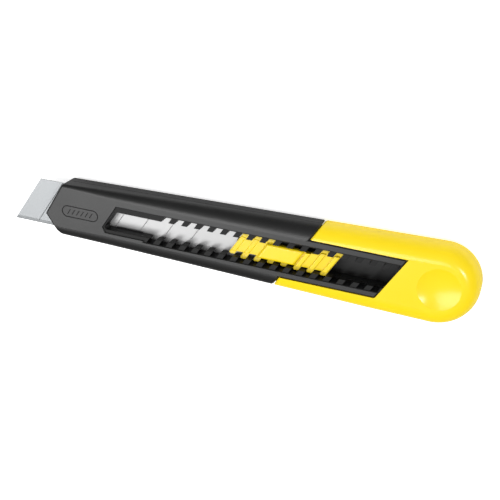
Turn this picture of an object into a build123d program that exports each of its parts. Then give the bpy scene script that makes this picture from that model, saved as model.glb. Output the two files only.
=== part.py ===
from build123d import *
import os
from math import cos, radians, sin, tan

# Snap-off utility knife, in millimetres. It lies on its flat back: +Z is up, out of the
# face with the thumb slider, and +Y is the side of the blade's blunt spine. The origin is
# on the back face, on the blade's centre line, half way along the knife as it rests.

# Housing envelope, shared by the black shells and the yellow end cap
HALF_LENGTH = 90.0
THICKNESS = 12.5
NOSE = (-73.8, -2.2)
SPINE_SIDE = (10.3, 15.4)     # side walls at the nose end and at the rear end
EDGE_SIDE = (-10.45, -15.0)
EDGE_REAR = -14.5
SIDE_START = -74.0
NOSE_RISE = 63.0              # angles of the two cuts that make the nose
NOSE_FALL = 52.0
NOSE_ROUND = 0.8
NOSE_TURN = 5.5               # radius in plan where the lower cut meets the side
NOSE_TURN_AT = (-64.5, -5.27)
BACK_ROUND = 3.0
FACE_ROUNDS = (               # x, then the face's rounding on the spine and edge sides
    (-64.6, 1.3, 4.2),
    (-57.0, 1.9, 4.5),
    (-49.0, 2.6, 4.8),
    (-20.0, 3.8, 5.3),
    (34.0, 5.8, 5.8),
)
EDGE_BEND = 50.0              # the edge side runs straighter behind this point
REAR_ROUNDS = (15.2, 13.6)    # on the edge side and on the spine side

# Blade: a steel strip with seven score lines
BLADE_LENGTH = 100.0
BLADE_HALF = 9.0
BLADE_THICK = 0.5
BLADE_TOP = 6.85
SEGMENT = 10.0
SEGMENTS = 7
SCORE_WIDTH = 0.34
SCORE_DEPTH = 0.15
TIP_TRIM = 0.5                # the first segment is this much shorter than the rest
BEVELS = ((1.4, 0.16), (0.65, 0.22))   # grind width from the edge, depth on each face
TAIL_HOLE_RADIUS = 2.75
TAIL_HOLE_X = 4.0
TAIL_CORNER = 1.5
SLANT = 60.0                  # score lines, rack notches and cap edges all lean like this
LEAN = 1 / tan(radians(SLANT))

# Channel that guides the blade
PLAY = 0.15
RELIEF_HALF = 5.9
RELIEF_START = -47.2
RACK_BOTTOM = 7.75
KEEL_HALF = 5.5
FLOOR = 1.6
KEEL_START = -38.0

# Window and rack in the face
WINDOW_SIDES = (-5.0, 6.0)    # outline of the sunken step ahead of the rack
RACK_SIDES = (-5.65, 6.1)     # and along the rack
WINDOW_START = -48.2
RACK_START = -30.0
WINDOW_STEP = 0.45
WINDOW_CORNER = 2.4
WINDOW_RIM = 0.2
SLOT_START = -47.7
SLOT_CORNER = 1.2
LIP = (-44.0, -33.2)          # a thin lip along the foot of the slot's lower wall
LIP_WIDTH = 0.3
LIP_TOP = 8.0
TIP_HALF = 3.79
NOTCH_SIDES = (-5.6, 5.8)
NOTCH_PITCH = 5.0
NOTCH_WIDTH = 2.7
FIRST_NOTCH = -27.47
NOTCHES = 19

# Sunken ornament on the face, near the nose: a ring round a row of leaning bars
MARK = (-59.3, 0.5)
MARK_SIZE = (15.0, 4.6)
MARK_LINE = 0.4
MARK_DEPTH = 0.2
MARK_BARS = 6
BAR_PITCH = 1.8
BAR_HALF = 1.0

# End cap and the neck that it slides over
CAP_EDGE = 24.36              # where its slanted front edge crosses the centre line
CAP_GAP = 0.25
CAP_CHAMFER = 0.5
CAP_WINDOW = (-8.0, 8.65)
CAP_WINDOW_END = 59.6
CAP_WINDOW_ROUND = 1.0
TONGUE_GAP = 0.12
TONGUE_CHAMFER = 0.5
SEAM_CHAMFER = 0.12
NECK_SIDES = (-11.0, 11.85)
NECK_LEVELS = (1.55, 10.95)
NECK_ROUND = 2.6
NECK_END = 66.0
TONGUE_OVERLAP = 1.0
FIT = 0.1
POCKET_END = 83.0
POCKET_LEVELS = (1.8, 10.3)
POCKET_HALF = 9.4
POCKET_ROUND = 1.5
DIMPLE = (76.4, 0.2)
DIMPLE_RADIUS = 7.6
DIMPLE_DEPTH = 1.3

# Slider with its thumb pad, and how far it is pressed to leave the rack
SLIDER_HALF = 3.4
SLIDER_WAIST = 2.4            # the plate is narrower here, so that the thumb pad overhangs it
SLIDER_FRONT_LOW = -2.6
SLIDER_TIP = 5.0
FIRST_TIP = 3.9
TIP_ROUND = 0.6
SLIDER_TOP = 9.0
SLIDER_BOTTOM = 7.6
SLIDER_THIN_BOTTOM = 8.3
THIN_END = 13.0
TOOTH_WIDTH = 2.4
TOOTH_THICK = 0.7
LOWER_TEETH = range(6, 14)
UPPER_TEETH = (6, 7, 8, 12, 13)
LOW_TEETH = (9, 10)
RIBS = {6: 0.3, 7: 0.3, 8: 0.3, 11: 0.8, 12: 0.8, 13: 1.1}
RIB_WIDTH = 1.9
RIB_ROUND = 0.28
WAIST = (12.2, 31.0)
PAD = (11.9, 26.0)
PAD_HALF = 3.07
PAD_TOP = 10.6
PAD_ROUND = 0.85
STEM = (15.0, 24.0)
STEM_HALF = 2.4
STEM_BOTTOM = 4.6
SINK = 0.2                    # how far a raised feature starts inside what carries it

# Blade carrier and spring
CARRIER = (-4.0, 36.4)
CARRIER_HALF = 5.4
CARRIER_BOTTOM = 1.85
CARRIER_TOP = 6.1
STRIP_INNER = 5.1
SADDLE_TOP = 6.3
SADDLE_END = 10.1
WINGS = (10.6, 36.0)
WING_HALF = 8.9
WING_LEVELS = (6.3, 6.9)
PEG_RADIUS = 2.65
PEG_TOP = 6.83
PEG_CHAMFER = 0.2
RECESS = (26.5, 34.0)
RECESS_HALF = 3.5
RECESS_BOTTOM = 3.4
SPRING_THICK = 0.3
SPRING_WIDTH = 4.0
SPRING_BASE = 2.6
SPRING_ENDS = (15.6, 23.4)


def side_y(side, x):
    """Where a side wall stands at x: the body widens evenly towards the rear."""
    share = (x - SIDE_START) / (HALF_LENGTH - SIDE_START)
    return side[0] + (side[1] - side[0]) * share


def block(x, y, z):
    """A box from its low and high coordinates."""
    size = (x[1] - x[0], y[1] - y[0], z[1] - z[0])
    middle = ((x[0] + x[1]) / 2, (y[0] + y[1]) / 2, (z[0] + z[1]) / 2)
    return Pos(*middle) * Box(*size)


def prism(points, z):
    """An outline in plan, raised from z[0] to z[1]."""
    face = make_face(Polyline(*points, close=True))
    return Pos(0, 0, z[0]) * extrude(face, z[1] - z[0])


def leaning(x, y, z):
    """A block whose two ends lean like the rack's notches. x is measured at y = 0."""
    corners = [(x[0], y[0]), (x[1], y[0]), (x[1], y[1]), (x[0], y[1])]
    return prism([(px + py * LEAN, py) for px, py in corners], z)


def slab(x):
    """The space between two stations along the body."""
    far = 2 * HALF_LENGTH
    return block(x, (-far, far), (-THICKNESS, 2 * THICKNESS))


def wedge():
    """The body without any rounding, widening evenly from a point ahead of the nose."""
    ends = (-HALF_LENGTH, HALF_LENGTH)
    sides = [(x, side_y(side, x)) for side in (EDGE_SIDE, SPINE_SIDE) for x in ends]
    return prism([sides[0], sides[1], sides[3], sides[2]], (0, THICKNESS))


def rounded_wedge(spine_round, edge_round):
    """The wedge with its four long edges rounded."""
    bar = wedge()
    rounds = ((-1, -1, spine_round), (-1, 0, edge_round), (0, -1, BACK_ROUND), (0, 0, BACK_ROUND))
    for level, side, size in rounds:
        rim = bar.edges().group_by(Axis.Z)[level].sort_by(Axis.Y)[side]
        bar = fillet(rim, size)
    return bar


def nose():
    """The body ahead of its first station: two slanting cuts, and a turn into the side."""
    rise, fall = radians(NOSE_RISE), radians(NOSE_FALL)
    lower = (NOSE[0] + HALF_LENGTH * cos(fall), NOSE[1] - HALF_LENGTH * sin(fall))
    upper = (NOSE[0] + HALF_LENGTH * cos(rise), NOSE[1] + HALF_LENGTH * sin(rise))
    start, spine_round, edge_round = FACE_ROUNDS[0]
    body = rounded_wedge(spine_round, edge_round) & prism([NOSE, lower, upper], (0, THICKNESS))
    rims = [edge for cut in body.faces().sort_by(Axis.X)[:2] for edge in cut.edges()]
    body = fillet(list(dict.fromkeys(rims)), NOSE_ROUND)
    x, y = NOSE_TURN_AT
    spoke = 2 * NOSE_TURN
    corners = [(x, y), (x - spoke * sin(fall), y - spoke * cos(fall)), (x, y - spoke)]
    shaving = prism(corners, (-THICKNESS, 2 * THICKNESS))
    shaving -= Pos(x, y) * Cylinder(NOSE_TURN, 4 * THICKNESS)
    return (body - shaving) & slab((-2 * HALF_LENGTH, start))


def trunk():
    """The body behind its last station, rounded alike along its sides and round its rear."""
    start, face_round, _ = FACE_ROUNDS[-1]
    bar = prism(
        [
            (-HALF_LENGTH, side_y(EDGE_SIDE, -HALF_LENGTH)),
            (EDGE_BEND, side_y(EDGE_SIDE, EDGE_BEND)),
            (HALF_LENGTH, EDGE_REAR),
            (HALF_LENGTH, side_y(SPINE_SIDE, HALF_LENGTH)),
            (-HALF_LENGTH, side_y(SPINE_SIDE, -HALF_LENGTH)),
        ],
        (0, THICKNESS),
    )
    for end, size in zip((0, -1), REAR_ROUNDS):
        corner = bar.edges().filter_by(Axis.Z).group_by(Axis.X)[-1].sort_by(Axis.Y)[end]
        bar = fillet(corner, size)
    for level, size in ((-1, face_round), (0, BACK_ROUND)):
        bar = fillet(bar.edges().group_by(Axis.Z)[level].sort_by(Axis.X)[1:], size)
    return bar & slab((start, 2 * HALF_LENGTH))


def envelope():
    """The outer shape of the whole handle, before it is parted into shells and cap."""
    stations = []
    for x, spine_round, edge_round in FACE_ROUNDS:
        behind = rounded_wedge(spine_round, edge_round) & slab((x, 2 * HALF_LENGTH))
        stations.append(behind.faces().sort_by(Axis.X)[0])
    return nose() + loft(stations, ruled=True) + trunk()


def cap_region(offset):
    """Everything behind the cap's slanted front edge, moved back by offset."""
    far = 3 * HALF_LENGTH
    return leaning((CAP_EDGE + offset, far), (-far, far), (-THICKNESS, 2 * THICKNESS))


def window_region(gap):
    """The cap's window in the face, which a tongue of the front shell fills."""
    low, high = CAP_WINDOW
    sides = (low + gap, high - gap)
    ends = (-HALF_LENGTH, CAP_WINDOW_END - gap)
    opening = leaning(ends, sides, (FLOOR, 2 * THICKNESS))
    corner = opening.edges().filter_by(Axis.Z).group_by(Axis.Y)[0].sort_by(Axis.X)[-1]
    return fillet(corner, CAP_WINDOW_ROUND)


def neck(clearance):
    """The plain parallel-sided bar that the cap slides over."""
    bar = block(
        (0, NECK_END + clearance),
        (NECK_SIDES[0] - clearance, NECK_SIDES[1] + clearance),
        (NECK_LEVELS[0] - clearance, NECK_LEVELS[1] + clearance),
    )
    return fillet(bar.edges().filter_by(Axis.X), NECK_ROUND)


def channel():
    """The space inside the housing: blade slot, relief under the rack, and keel trough."""
    slot = (BLADE_TOP - BLADE_THICK - PLAY, BLADE_TOP + PLAY)
    reach = (-HALF_LENGTH, HALF_LENGTH)
    half = BLADE_HALF + PLAY
    space = block(reach, (-half, half), slot)
    relief = (slot[1], RACK_BOTTOM)
    space += leaning((RELIEF_START, HALF_LENGTH), (-RELIEF_HALF, RELIEF_HALF), relief)
    space += block((KEEL_START, HALF_LENGTH), (-KEEL_HALF, KEEL_HALF), (FLOOR, slot[0]))
    return space


def rack_window():
    """The opening in the face: a shallow step, the slot between the tips, the notches.

    The last notch runs out through the end of the neck.
    """
    step = (THICKNESS - WINDOW_STEP, 2 * THICKNESS)
    recess = leaning((WINDOW_START, RACK_START + TONGUE_OVERLAP), WINDOW_SIDES, step)
    corner = recess.edges().filter_by(Axis.Z).group_by(Axis.Y)[0].sort_by(Axis.X)[0]
    recess = chamfer(corner, WINDOW_CORNER)
    recess += leaning((RACK_START, 2 * HALF_LENGTH), RACK_SIDES, step)
    mouth = Pos(0, 0, -THICKNESS - WINDOW_RIM) * recess.faces().sort_by(Axis.Z)[-1]
    recess += extrude(mouth, 2 * WINDOW_RIM, dir=(0, 0, 1), taper=-45)
    depth = (BLADE_TOP, 2 * THICKNESS)
    slot = leaning((SLOT_START, 2 * HALF_LENGTH), (-TIP_HALF, TIP_HALF), depth)
    corner = slot.edges().filter_by(Axis.Z).group_by(Axis.Y)[0].sort_by(Axis.X)[0]
    slot = chamfer(corner, SLOT_CORNER)
    notches = []
    for k in range(NOTCHES + 1):
        start = FIRST_NOTCH + k * NOTCH_PITCH - NOTCH_WIDTH / 2
        end = start + NOTCH_WIDTH if k < NOTCHES else 2 * HALF_LENGTH
        notches.append(leaning((start, end), NOTCH_SIDES, depth))
    lip = leaning(LIP, (-TIP_HALF - SINK, LIP_WIDTH - TIP_HALF), (BLADE_TOP, LIP_TOP))
    return recess + (slot - lip) + notches


def mark():
    """The ornament, as the space that it takes out of the face."""
    outer = SlotOverall(*MARK_SIZE)
    inner = SlotOverall(MARK_SIZE[0] - 2 * MARK_LINE, MARK_SIZE[1] - 2 * MARK_LINE)
    space = extrude(outer - inner, THICKNESS)
    for k in range(MARK_BARS):
        x = (k - (MARK_BARS - 1) / 2) * BAR_PITCH
        ends = (x - MARK_LINE / 2, x + MARK_LINE / 2)
        space += leaning(ends, (-BAR_HALF, BAR_HALF), (0, THICKNESS))
    return Pos(*MARK, THICKNESS - MARK_DEPTH) * space


def housing():
    """The black housing in one piece, before it is parted into its two shells."""
    front = envelope() - cap_region(0)
    rim = front.faces().sort_by(Axis.X)[-1].edges()
    front = chamfer(rim, CAP_CHAMFER)
    filling = window_region(TONGUE_GAP) & block(
        (-HALF_LENGTH, HALF_LENGTH), CAP_WINDOW, (FLOOR, THICKNESS - TONGUE_CHAMFER)
    )
    filling += extrude(filling.faces().sort_by(Axis.Z)[-1], TONGUE_CHAMFER, taper=45)
    tongue = filling & cap_region(-TONGUE_OVERLAP)
    return front + neck(0) + tongue - channel() - rack_window() - mark()


def shells():
    """The housing parted along the middle of the blade."""
    whole = housing()
    parting = BLADE_TOP - BLADE_THICK / 2
    far = 2 * HALF_LENGTH
    halves = []
    for levels in ((parting, far), (-far, parting)):
        half = whole & block((-far, far), (-far, far), levels)
        level = half.edges().filter_by_position(Axis.Z, parting - FIT, parting + FIT)
        sides = [e for e in level if abs(e.center().Y) > BLADE_HALF + 2 * PLAY]
        halves.append(chamfer(sorted(sides, key=lambda e: e.length)[-2:], SEAM_CHAMFER))
    return halves


def end_cap():
    """The yellow cap: a sleeve round the neck, closed and dished at the rear."""
    cap = envelope() & cap_region(CAP_GAP)
    rim = cap.faces().sort_by(Axis.X)[0].edges()
    cap = chamfer(rim, CAP_CHAMFER)
    cap -= neck(FIT)
    cap -= window_region(0)
    pocket = block((NECK_END, POCKET_END), (-POCKET_HALF, POCKET_HALF), POCKET_LEVELS)
    cap -= fillet(pocket.edges().filter_by(Axis.X), POCKET_ROUND)
    ball = (DIMPLE_RADIUS**2 + DIMPLE_DEPTH**2) / (2 * DIMPLE_DEPTH)
    centre = THICKNESS - DIMPLE_DEPTH + ball
    return cap - Pos(DIMPLE[0], DIMPLE[1], centre) * Sphere(ball)


def blade():
    """The whole scored strip, in its place, with its two-stage grind and tail hole."""
    tip = TIP_TRIM - HALF_LENGTH
    tail = BLADE_LENGTH - HALF_LENGTH
    lean = 2 * BLADE_HALF * LEAN
    low = BLADE_TOP - BLADE_THICK
    outline = [(tip, -BLADE_HALF), (tail, -BLADE_HALF), (tail, BLADE_HALF)]
    outline.append((tip + lean, BLADE_HALF))
    strip = prism(outline, (low, BLADE_TOP))
    tail_corners = strip.edges().filter_by(Axis.Z).sort_by(Axis.X)[-2:]
    strip = chamfer(tail_corners, TAIL_CORNER)
    for width, depth in BEVELS:
        inner = -BLADE_HALF + width
        for level, outward in ((BLADE_TOP, 1), (low, -1)):
            sliver = Plane.YZ * make_face(
                Polyline(
                    (inner, level),
                    (inner - 2 * width, level - 2 * outward * depth),
                    (inner - 2 * width, level + outward),
                    (inner, level + outward),
                    close=True,
                )
            )
            strip -= extrude(sliver, 2 * HALF_LENGTH, both=True)
    hole = Cylinder(TAIL_HOLE_RADIUS, 4 * BLADE_THICK)
    return strip - Pos(TAIL_HOLE_X, 0, BLADE_TOP) * hole


def score_groove(x):
    """A V groove across the blade's upper face, where a segment snaps off."""
    section = make_face(
        Polyline(
            (-SCORE_WIDTH, SCORE_DEPTH),
            (SCORE_WIDTH, SCORE_DEPTH),
            (0, -SCORE_DEPTH),
            close=True,
        )
    )
    groove = extrude(Plane.XZ * section, 2 * BLADE_HALF, both=True)
    turned = Pos(x + BLADE_HALF * LEAN, 0, BLADE_TOP) * Rot(0, 0, SLANT - 90) * groove
    return turned


def blade_pieces():
    """The strip parted at its score lines: each piece snaps off in its turn."""
    strip = blade()
    scores = [-HALF_LENGTH + SEGMENT * (k + 1) for k in range(SEGMENTS)]
    for x in scores:
        strip -= score_groove(x)
    middles = [-2 * HALF_LENGTH] + [x + BLADE_HALF * LEAN for x in scores] + [HALF_LENGTH]
    pieces = {}
    for k, ends in enumerate(zip(middles, middles[1:])):
        name = "blade_tail" if k == SEGMENTS else f"blade_segment_{k + 1}"
        cell = leaning(ends, (-2 * BLADE_HALF, 2 * BLADE_HALF), (0, THICKNESS))
        pieces[name] = strip & cell
    return pieces


def slider():
    """The yellow lock slider: toothed plate, leaning ribs, raised thumb pad and stem."""
    half = TOOTH_WIDTH / 2
    at = [FIRST_NOTCH + k * NOTCH_PITCH for k in range(max(LOWER_TEETH) + 1)]
    front = at[min(LOWER_TEETH)] - half
    rear = at[max(LOWER_TEETH)] + half
    sides = (-SLIDER_HALF, SLIDER_HALF)
    levels = (SLIDER_THIN_BOTTOM, SLIDER_TOP)
    body = leaning((front, WAIST[0] + SINK), (SLIDER_FRONT_LOW, SLIDER_HALF), levels)
    body += leaning((WAIST[0], WAIST[1] + SINK), (-SLIDER_HALF, SLIDER_WAIST), levels)
    body += leaning((WAIST[1], rear), sides, levels)
    thick = leaning((THIN_END, rear), (-SLIDER_HALF, SLIDER_WAIST), (SLIDER_BOTTOM, SLIDER_TOP))
    body += thick
    for k in LOWER_TEETH:
        bottom = SLIDER_THIN_BOTTOM if at[k] < THIN_END else SLIDER_BOTTOM
        top = SLIDER_THIN_BOTTOM if k in LOW_TEETH else SLIDER_TOP
        bottom = min(bottom, top - TOOTH_THICK)
        low = -FIRST_TIP if k == min(LOWER_TEETH) else -SLIDER_TIP
        reach = SLIDER_TIP if k in UPPER_TEETH else 0
        tooth = leaning((at[k] - half, at[k] + half), (low, reach), (bottom, top))
        tip = tooth.edges().filter_by(Axis.Z).group_by(Axis.Y)[0]
        body += fillet(tip, TIP_ROUND)
    for k, height in RIBS.items():
        ends = (at[k] - RIB_WIDTH / 2, at[k] + RIB_WIDTH / 2)
        reach = SLIDER_HALF if k in UPPER_TEETH else SLIDER_WAIST
        low = SLIDER_FRONT_LOW if at[k] < THIN_END else -SLIDER_HALF
        rib = leaning(ends, (low, reach), (SLIDER_TOP - SINK, SLIDER_TOP + height))
        body += fillet(rib.edges().group_by(Axis.Z)[-1], RIB_ROUND)
    pad = leaning(PAD, (-PAD_HALF, PAD_HALF), (SLIDER_TOP - SINK, PAD_TOP))
    body += fillet(pad.edges().group_by(Axis.Z)[-1], PAD_ROUND)
    return body + block(STEM, (-STEM_HALF, STEM_HALF), (STEM_BOTTOM, SLIDER_TOP - SINK))


def blade_carrier():
    """The sled under the blade's tail: keel, side wings, peg and pocket for the stem."""
    half = CARRIER_HALF
    sled = block(CARRIER, (-half, half), (CARRIER_BOTTOM, CARRIER_TOP))
    sled += block((CARRIER[0], SADDLE_END), (-half, half), (CARRIER_TOP, SADDLE_TOP))
    for turn in (-1, 1):
        strip = sorted((turn * STRIP_INNER, turn * half))
        wing = sorted((turn * STRIP_INNER, turn * WING_HALF))
        sled += block(WINGS, strip, (CARRIER_TOP - SINK, WING_LEVELS[1]))
        sled += block(WINGS, wing, WING_LEVELS)
    peg = Cylinder(PEG_RADIUS, PEG_TOP - CARRIER_TOP, align=(Align.CENTER, Align.CENTER, Align.MIN))
    rim = peg.edges().group_by(Axis.Z)[-1]
    sled += Pos(TAIL_HOLE_X, 0, CARRIER_TOP) * chamfer(rim, PEG_CHAMFER)
    pocket = (STEM[0] - FIT, STEM[1] + FIT)
    sled -= block(pocket, (-STEM_HALF - FIT, STEM_HALF + FIT), (SPRING_BASE, THICKNESS))
    return sled - block(RECESS, (-RECESS_HALF, RECESS_HALF), (RECESS_BOTTOM, THICKNESS))


def leaf_spring():
    """A bowed steel strip between the carrier's pocket floor and the slider's stem."""
    start, end = SPRING_ENDS
    crown = STEM_BOTTOM - SPRING_THICK
    middle = (start + end) / 2
    upper = SPRING_BASE + SPRING_THICK
    under = ThreePointArc((start, SPRING_BASE), (middle, crown), (end, SPRING_BASE))
    over = ThreePointArc((start, upper), (middle, STEM_BOTTOM), (end, upper))
    ends = [Line((start, SPRING_BASE), (start, upper)), Line((end, SPRING_BASE), (end, upper))]
    section = Plane.XZ * make_face(Curve() + [under, over] + ends)
    return extrude(section, SPRING_WIDTH / 2, both=True)


def main():
    os.makedirs("parts", exist_ok=True)
    front_shell, back_shell = shells()
    nodes = {
        "front_shell": front_shell,
        "back_shell": back_shell,
        "end_cap": end_cap(),
        "slider": slider(),
        "blade_carrier": blade_carrier(),
        "leaf_spring": leaf_spring(),
        **blade_pieces(),
    }
    for name, shape in nodes.items():
        export_step(shape, f"parts/{name}.step")


main()
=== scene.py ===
import math

import bpy
from mathutils import Matrix, Vector


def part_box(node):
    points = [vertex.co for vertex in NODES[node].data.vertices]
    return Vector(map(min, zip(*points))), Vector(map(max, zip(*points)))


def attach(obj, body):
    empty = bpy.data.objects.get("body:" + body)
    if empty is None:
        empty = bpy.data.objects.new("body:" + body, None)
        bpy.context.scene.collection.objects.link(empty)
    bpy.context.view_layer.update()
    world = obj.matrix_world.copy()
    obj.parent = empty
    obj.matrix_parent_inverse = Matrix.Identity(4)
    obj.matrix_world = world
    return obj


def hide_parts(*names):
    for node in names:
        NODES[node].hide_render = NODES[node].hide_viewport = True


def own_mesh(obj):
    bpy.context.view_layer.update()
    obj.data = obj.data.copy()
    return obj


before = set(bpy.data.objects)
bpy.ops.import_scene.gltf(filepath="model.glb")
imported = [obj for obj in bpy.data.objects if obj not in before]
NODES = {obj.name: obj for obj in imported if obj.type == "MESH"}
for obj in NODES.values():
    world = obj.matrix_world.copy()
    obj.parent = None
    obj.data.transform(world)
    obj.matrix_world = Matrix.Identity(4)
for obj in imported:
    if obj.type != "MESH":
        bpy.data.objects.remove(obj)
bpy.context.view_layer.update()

# Snap-off utility knife lying on its back on a pale floor. Lengths are in metres.
MM = 0.001


# ---------------------------------------------------------------- shader nodes


class Shade:
    """Builds one node material. Every method returns an output socket."""

    def __init__(self, name):
        self.material = bpy.data.materials.new(name)
        self.material.use_nodes = True
        self.tree = self.material.node_tree
        self.tree.nodes.clear()
        self.output = self.tree.nodes.new("ShaderNodeOutputMaterial")
        self.shader = self.tree.nodes.new("ShaderNodeBsdfPrincipled")
        self.tree.links.new(self.shader.outputs[0], self.output.inputs["Surface"])
        self.place = self.tree.nodes.new("ShaderNodeTexCoord").outputs["Object"]

    def put(self, socket, value):
        """A link if value is a socket, otherwise a constant."""
        if isinstance(value, bpy.types.NodeSocket):
            self.tree.links.new(value, socket)
        else:
            socket.default_value = value

    def math(self, operation, *values, clamp=False):
        node = self.tree.nodes.new("ShaderNodeMath")
        node.operation = operation
        node.use_clamp = clamp
        for socket, value in zip(node.inputs, values):
            self.put(socket, value)
        return node.outputs[0]

    def axes(self):
        """X, Y and Z of the point in the knife's frame."""
        node = self.tree.nodes.new("ShaderNodeSeparateXYZ")
        self.put(node.inputs[0], self.place)
        return node.outputs

    def stretched(self, scale, turn=0.0):
        """The point, scaled by axis and turned about Z."""
        node = self.tree.nodes.new("ShaderNodeMapping")
        self.put(node.inputs["Vector"], self.place)
        node.inputs["Scale"].default_value = scale
        node.inputs["Rotation"].default_value = (0, 0, turn)
        return node.outputs[0]

    def noise(self, size, detail=3.0, rough=0.5, where=None):
        """Soft noise whose features are about size metres across."""
        node = self.tree.nodes.new("ShaderNodeTexNoise")
        self.put(node.inputs["Vector"], where or self.place)
        node.inputs["Scale"].default_value = 1 / size
        node.inputs["Detail"].default_value = detail
        node.inputs["Roughness"].default_value = rough
        return node.outputs[0]

    def ramp(self, value, low, high):
        """0 at low, 1 at high, with soft ends. Low may be the larger number."""
        node = self.tree.nodes.new("ShaderNodeMapRange")
        node.interpolation_type = "SMOOTHSTEP"
        for name, number in (("Value", value), ("From Min", low), ("From Max", high)):
            self.put(node.inputs[name], number)
        return node.outputs[0]

    def between(self, value, low, high):
        """value from 0..1 stretched to low..high."""
        node = self.tree.nodes.new("ShaderNodeMapRange")
        self.put(node.inputs["Value"], value)
        node.inputs["To Min"].default_value = low
        node.inputs["To Max"].default_value = high
        return node.outputs[0]

    def mix(self, share, first, second):
        """A colour between first and second."""
        node = self.tree.nodes.new("ShaderNodeMix")
        node.data_type = "RGBA"
        self.put(node.inputs[0], share)
        self.put(node.inputs[6], first)
        self.put(node.inputs[7], second)
        return node.outputs[2]

    def bump(self, height, distance, strength=1.0, normal=None):
        node = self.tree.nodes.new("ShaderNodeBump")
        self.put(node.inputs["Height"], height)
        node.inputs["Distance"].default_value = distance
        node.inputs["Strength"].default_value = strength
        if normal is not None:
            self.put(node.inputs["Normal"], normal)
        return node.outputs[0]

    def finish(self, **sockets):
        for name, value in sockets.items():
            self.put(self.shader.inputs[name.replace("_", " ")], value)
        return self.material


def grey(value):
    return (value, value, value, 1)


def black_plastic():
    """The housing's outside: black, with the fine even grain of a spark-eroded mould."""
    s = Shade("black_plastic")
    cloud = s.noise(9 * MM, 4)
    grain = s.noise(0.35 * MM, 2)
    colour = s.mix(cloud, grey(0.008), grey(0.012))
    rough = s.math("ADD", s.between(cloud, 0.38, 0.44), s.between(grain, -0.04, 0.04))
    s.shader.inputs["Specular IOR Level"].default_value = 0.47
    return s.finish(Base_Color=colour, Roughness=rough, Normal=s.bump(grain, 0.006 * MM, 0.6))


def recess_black_painted_fill(name, low, high):
    """The rack, the channel and the sunken rim: duller than the outside, with weaker gloss.
    Their base colour sits above the outside's black as painted fill light in these recesses.
    """
    s = Shade(name)
    cloud = s.noise(5 * MM, 4)
    grain = s.noise(0.5 * MM, 3)
    colour = s.mix(cloud, grey(low), grey(high))
    rough = s.math("ADD", s.between(cloud, 0.34, 0.46), s.between(grain, -0.05, 0.05))
    s.shader.inputs["Specular IOR Level"].default_value = 0.09
    return s.finish(Base_Color=colour, Roughness=rough, Normal=s.bump(grain, 0.008 * MM, 0.6))


def yellow_plastic():
    s = Shade("yellow_plastic")
    cloud = s.noise(12 * MM, 3)
    grain = s.noise(0.3 * MM, 2)
    colour = s.mix(cloud, (0.79, 0.585, 0.005, 1), (0.83, 0.62, 0.007, 1))
    rough = s.math("ADD", s.between(cloud, 0.21, 0.25), s.between(grain, -0.03, 0.03))
    bump = s.bump(grain, 0.003 * MM, 0.5)
    s.shader.inputs["Specular IOR Level"].default_value = 0.42
    return s.finish(Base_Color=colour, Roughness=rough, Normal=bump)


def blade_steel():
    s = Shade("blade_steel")
    lines = s.noise(0.12 * MM, 3, 0.6, where=s.stretched((1, 0.02, 1), math.radians(30)))
    cloud = s.noise(14 * MM, 4)
    # Painted reflection: from x = -50 mm back, where the blade lies in the window, the same
    # steel is drawn lighter than at its free end ahead of x = -70 mm.
    tip = s.mix(cloud, (0.255, 0.266, 0.274, 1), (0.277, 0.288, 0.296, 1))
    window_steel_painted_light = s.mix(cloud, grey(0.37), grey(0.42))
    colour = s.mix(s.ramp(s.axes()[0], -70 * MM, -50 * MM), tip, window_steel_painted_light)
    rough = s.math("ADD", s.between(cloud, 0.31, 0.35), s.between(lines, -0.03, 0.03))
    bump = s.bump(lines, 0.001 * MM, 0.5)
    s.shader.inputs["Metallic"].default_value = 0.25
    return s.finish(Base_Color=colour, Roughness=rough, Normal=bump)


def spring_steel():
    s = Shade("spring_steel")
    lines = s.noise(0.3 * MM, 3, 0.6, where=s.stretched((1, 0.05, 1)))
    colour = s.mix(lines, grey(0.30), grey(0.42))
    s.shader.inputs["Metallic"].default_value = 1.0
    rough = s.between(lines, 0.28, 0.42)
    return s.finish(Base_Color=colour, Roughness=rough, Normal=s.bump(lines, 0.004 * MM, 0.5))


def floor_paper():
    """A pale light table. The knife's own reflections see it dim, as if it were flagged off:
    painted shade for glossy rays, 0.45 grey within about 22 mm of the knife's long axis, fading
    to near black beyond 50 mm.
    """
    s = Shade("floor_paper")
    cloud = s.noise(60 * MM, 3)
    paper = s.mix(cloud, grey(0.93), grey(0.95))
    ray = s.tree.nodes.new("ShaderNodeLightPath").outputs
    _, y, _ = s.axes()
    # Painted shade seen only in reflections: mid grey close to the knife's long axis, near
    # black further out.
    beside = s.ramp(s.math("ABSOLUTE", y), 0.050, 0.022)
    reflected_painted_shade = s.mix(beside, grey(0.03), grey(0.45))
    colour = s.mix(ray["Is Glossy Ray"], paper, reflected_painted_shade)
    glow = s.mix(ray["Is Glossy Ray"], grey(0.60), grey(0.0))
    s.shader.inputs["Emission Strength"].default_value = 1.0
    return s.finish(
        Base_Color=colour, Emission_Color=glow, Roughness=0.9, Specular_IOR_Level=0.1
    )


# ---------------------------------------------------------------- materials on the CAD nodes

FINISH = {
    "black_plastic": black_plastic(),
    # The two recess copies carry painted fill light in their base colour; the trough's copy is
    # the lighter one.
    "recess_black_painted_fill": recess_black_painted_fill("recess_black_painted_fill", 0.012, 0.020),
    "trough_black_painted_fill": recess_black_painted_fill("trough_black_painted_fill", 0.028, 0.040),
    "yellow_plastic": yellow_plastic(),
    "blade_steel": blade_steel(),
    "spring_steel": spring_steel(),
}
BACK_SKIN = 1 * MM
RIM_DEPTH = 0.2 * MM
WINDOW_REACH = 6.4 * MM
TROUGH_REACH = 9.3 * MM
NODE_SLOT = {
    "front_shell": "black_plastic",
    "back_shell": "black_plastic",
    "end_cap": "yellow_plastic",
    "slider": "yellow_plastic",
    "blade_carrier": "black_plastic",
    "leaf_spring": "spring_steel",
}


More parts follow.
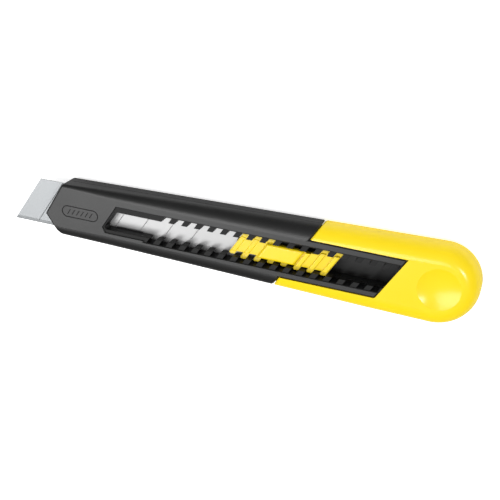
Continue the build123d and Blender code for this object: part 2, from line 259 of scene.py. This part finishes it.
def dress(piece, material):
    piece.data.materials.clear()
    piece.data.materials.append(material)


def give_recess_painted_fill(node, finish, ceiling, reach):
    """Gives the recess copy, with its painted fill light and weaker gloss, to the faces above
    the back's skin and below ceiling, near the blade.
    """
    node.data.materials.append(FINISH[finish])
    for face in node.data.polygons:
        if BACK_SKIN < face.center.z < ceiling and abs(face.center.y) < reach:
            face.material_index = 1


for name, node in NODES.items():
    slot = NODE_SLOT.get(name, "blade_steel")
    dress(node, FINISH[slot])
rim_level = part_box("front_shell")[1].z - RIM_DEPTH
# The window's recess and the blade's trough get base colours lifted as painted fill light.
give_recess_painted_fill(NODES["front_shell"], "recess_black_painted_fill", rim_level, WINDOW_REACH)
give_recess_painted_fill(NODES["back_shell"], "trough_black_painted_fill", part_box("blade_tail")[1].z, TROUGH_REACH)
# The carrier, down in the channel, also gets the recess copy with its painted fill light.
dress(NODES["blade_carrier"], FINISH["recess_black_painted_fill"])


# ---------------------------------------------------------------- the leaf spring, copied onto the carriage


def flexing_spring():
    """The leaf spring again, as a piece of its own on the carriage, with the original hidden.
    """
    node = NODES["leaf_spring"]
    spring = bpy.data.objects.new("flexing_spring", node.data.copy())
    spring.matrix_world = node.matrix_world
    bpy.context.scene.collection.objects.link(spring)
    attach(spring, "carriage")
    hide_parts("leaf_spring")
    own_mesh(spring)


flexing_spring()


# ---------------------------------------------------------------- stage, light and camera


FLOOR_HALF = 3.0


def make_floor():
    half = FLOOR_HALF
    mesh = bpy.data.meshes.new("floor")
    corners = [(-half, -half, 0), (half, -half, 0), (half, half, 0), (-half, half, 0)]
    mesh.from_pydata(corners, [], [(0, 1, 2, 3)])
    floor = bpy.data.objects.new("floor", mesh)
    bpy.context.scene.collection.objects.link(floor)
    mesh.materials.append(floor_paper())


def softbox(name, middle, size, radiance):
    """A rectangular lamp facing the origin. Its power follows from its area and radiance."""
    lamp = bpy.data.lights.new(name, "AREA")
    lamp.shape = "RECTANGLE"
    lamp.size, lamp.size_y = size
    lamp.energy = radiance * math.pi * size[0] * size[1]
    item = bpy.data.objects.new(name, lamp)
    item.location = middle
    item.rotation_euler = (-Vector(middle)).to_track_quat("-Z", "Y").to_euler()
    bpy.context.scene.collection.objects.link(item)


def make_world():
    """Pale studio air, flagged off near the horizon so that the black plastic stays deep."""
    world = bpy.data.worlds.new("studio")
    bpy.context.scene.world = world
    world.use_nodes = True
    tree = world.node_tree
    ray = tree.nodes.new("ShaderNodeLightPath").outputs
    direction = tree.nodes.new("ShaderNodeTexCoord").outputs["Generated"]
    split = tree.nodes.new("ShaderNodeSeparateXYZ")
    height = tree.nodes.new("ShaderNodeMapRange")
    height.interpolation_type = "SMOOTHSTEP"
    height.inputs["From Min"].default_value = 0.45
    height.inputs["From Max"].default_value = 0.95
    height.inputs["To Min"].default_value = 0.12
    height.inputs["To Max"].default_value = 0.62
    tree.links.new(direction, split.inputs[0])
    tree.links.new(split.outputs["Z"], height.inputs["Value"])
    colour = grey(0.62)
    for flag, seen in (("Is Glossy Ray", height.outputs[0]), ("Is Camera Ray", grey(0.95))):
        mix = tree.nodes.new("ShaderNodeMix")
        mix.data_type = "RGBA"
        tree.links.new(ray[flag], mix.inputs[0])
        for socket, value in ((mix.inputs[6], colour), (mix.inputs[7], seen)):
            if isinstance(value, bpy.types.NodeSocket):
                tree.links.new(value, socket)
            else:
                socket.default_value = value
        colour = mix.outputs[2]
    tree.links.new(colour, tree.nodes["Background"].inputs["Color"])


def make_camera():
    data = bpy.data.cameras.new("camera")
    data.lens = 71.127
    data.sensor_width = 36.0
    camera = bpy.data.objects.new("camera", data)
    right = Vector((0.94797, 0.09728, -0.30314))
    up = Vector((-0.19997, 0.92285, -0.32918))
    back = Vector((0.24773, 0.37267, 0.89429))
    turn = Matrix((right, up, back)).transposed().to_4x4()
    camera.matrix_world = Matrix.Translation((0.0961, 0.13255, 0.32987)) @ turn
    bpy.context.scene.collection.objects.link(camera)
    bpy.context.scene.camera = camera


make_floor()
softbox("overhead_softbox", (-0.30, -0.13, 0.85), (0.42, 0.72), 5.8)
softbox("rear_softbox", (0.42, 0.03, 0.80), (0.07, 0.11), 80.0)
make_world()
make_camera()
bpy.context.scene.view_settings.view_transform = "Standard"
